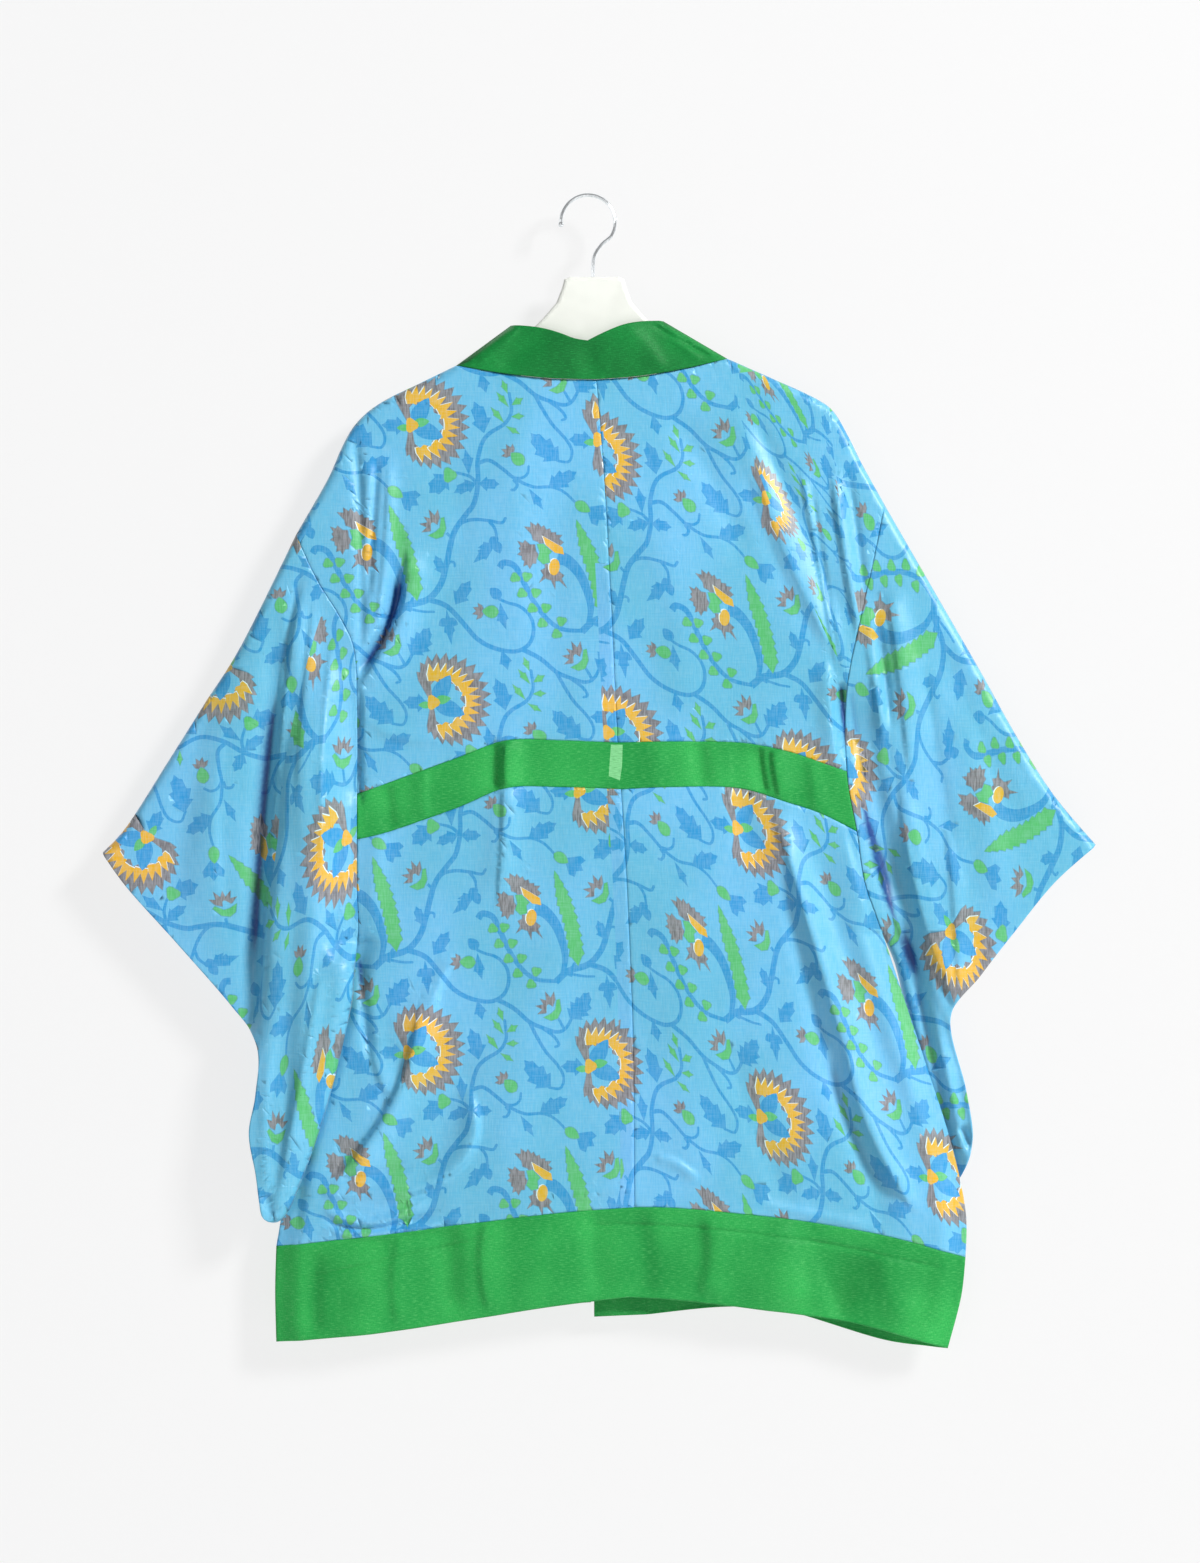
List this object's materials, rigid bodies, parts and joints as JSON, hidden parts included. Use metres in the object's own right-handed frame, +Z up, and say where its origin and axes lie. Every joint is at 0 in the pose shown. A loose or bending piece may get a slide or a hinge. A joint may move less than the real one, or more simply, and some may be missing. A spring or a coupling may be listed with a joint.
{
  "type": "short kimono jacket on a hanger",
  "caption": "Short open-front silk kimono jacket with wide hanging sleeves, contrast collar, waist band and hem bands, hung flat on a moulded hanger with a wire hook.",
  "frame": {"origin": "inside top of the hanger's hook, where it bears on a rail", "axes": "+Z up; +X to the right as seen from the garment's back; the back faces -Y and the open fronts face +Y"},
  "size_m": [0.8942, 0.0588, 1.0397],
  "materials": {
    "silk": "printed light silk, soft sheen",
    "raw_silk": "plain green raw silk with fine slubs",
    "white_plastic": "smooth white, semi-matt",
    "chrome_wire": "polished"
  },
  "bodies": {
    "root": {"back_upper_left": "silk", "back_lower_left": "silk", "front_left": "silk", "sleeve_left_back": "silk", "sleeve_left_front": "silk", "front_hem_left": "raw_silk", "front_band_left": "raw_silk", "back_upper_right": "silk", "back_lower_right": "silk", "front_right": "silk", "sleeve_right_back": "silk", "sleeve_right_front": "silk", "front_hem_right": "raw_silk", "front_band_right": "raw_silk", "waist_band": "raw_silk", "back_hem": "raw_silk", "collar": "raw_silk", "hanger_body": "white_plastic", "hanger_hook": "chrome_wire"}
  },
  "joints": []
}
